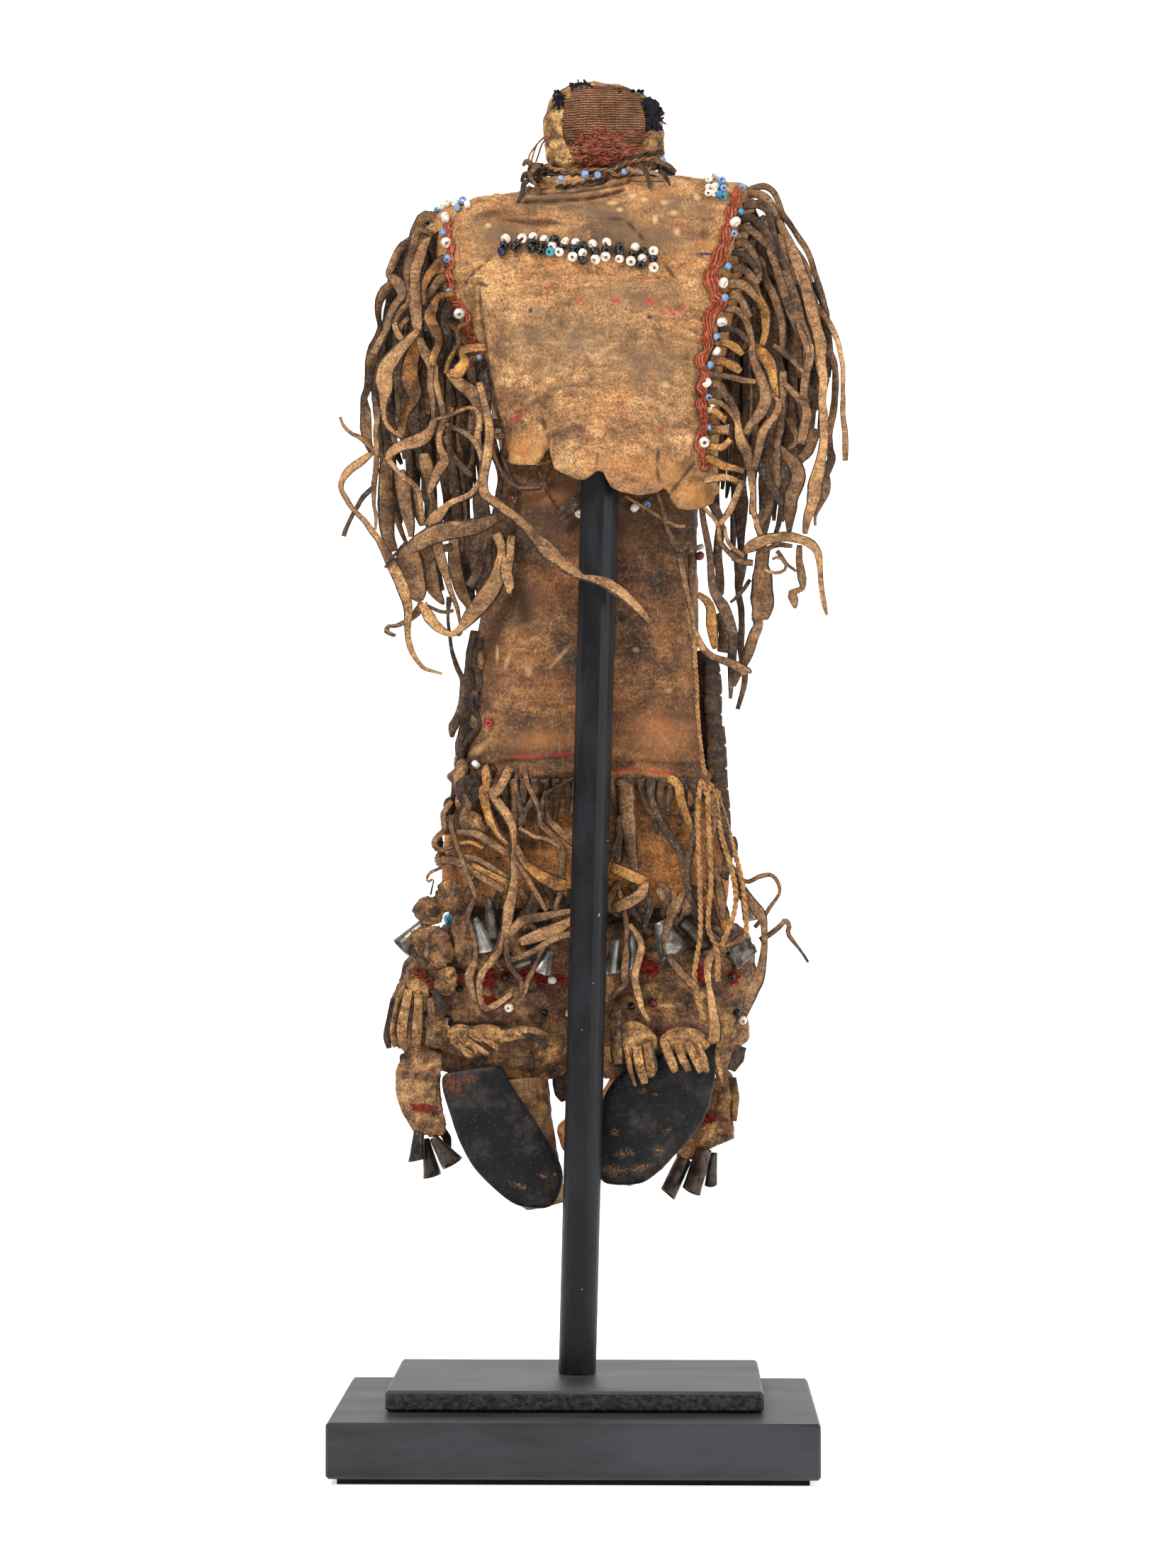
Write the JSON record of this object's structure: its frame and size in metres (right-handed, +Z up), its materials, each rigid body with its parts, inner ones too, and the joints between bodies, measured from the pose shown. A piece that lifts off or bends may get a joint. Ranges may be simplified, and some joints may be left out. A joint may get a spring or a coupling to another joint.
{
  "type": "beaded hide doll",
  "caption": "Hide doll with a fringed and beaded cape, tin cones and hard soles, seen from its back, held by a rod on a stepped painted base.",
  "frame": {"origin": "centre of the felt's underside, on the floor under the middle of the base", "axes": "+Z up through the head, +X to the viewer's right, and the doll's back faces -Y, the viewer"},
  "size_m": [0.1542, 0.1075, 0.4178],
  "materials": {
    "stand_paint": "satin",
    "felt": "matte",
    "hide": "matte",
    "thong_hide": "matte",
    "dark_hide": "matte",
    "wool": "matte",
    "black_wool": "matte",
    "yarn": "matte",
    "beads": "gloss",
    "sole_leather": "satin",
    "tin": "tarnished",
    "sinew_cord": "matte"
  },
  "bodies": {
    "root": {"base_board": "stand_paint", "base_plate": "stand_paint", "support_rod": "stand_paint", "base_felt": "felt", "body": "hide", "cape": "hide", "head": "hide", "lower_skirt": "hide", "left_legging": "hide", "right_legging": "hide", "left_foot": "hide", "right_foot": "hide", "left_pendant": "hide", "right_pendant": "hide", "left_cut_tab": "hide", "middle_cut_tab": "hide", "inner_right_cut_tab": "hide", "outer_right_cut_tab": "hide", "folded_side_tab": "hide", "left_cape_fringe": "thong_hide", "right_cape_fringe": "thong_hide", "skirt_fringe": "thong_hide", "crossing_thong": "thong_hide", "knotted_thong": "thong_hide", "diagonal_thong": "thong_hide", "loop_thong": "thong_hide", "right_long_thong": "thong_hide", "wide_light_thong": "thong_hide", "neck_lashing": "dark_hide", "side_lacing": "dark_hide", "rolled_side_strip": "dark_hide", "dark_dangle": "dark_hide", "head_cloth": "wool", "head_wool_edging": "black_wool", "left_seam_yarn": "yarn", "right_seam_yarn": "yarn", "back_bead_lane": "beads", "left_shoulder_beads": "beads", "right_shoulder_beads": "beads", "left_sole": "sole_leather", "right_sole": "sole_leather", "skirt_cone_01": "tin", "skirt_cone_02": "tin", "skirt_cone_03": "tin", "skirt_cone_04": "tin", "skirt_cone_05": "tin", "skirt_cone_06": "tin", "skirt_cone_07": "tin", "skirt_cone_08": "tin", "pendant_cone_1": "tin", "pendant_cone_2": "tin", "pendant_cone_3": "tin", "pendant_cone_4": "tin", "pendant_cone_5": "tin", "pendant_cone_6": "tin", "twisted_cord_1": "sinew_cord", "twisted_cord_2": "sinew_cord", "twisted_cord_3": "sinew_cord", "twisted_cord_4": "sinew_cord"}
  },
  "joints": []
}
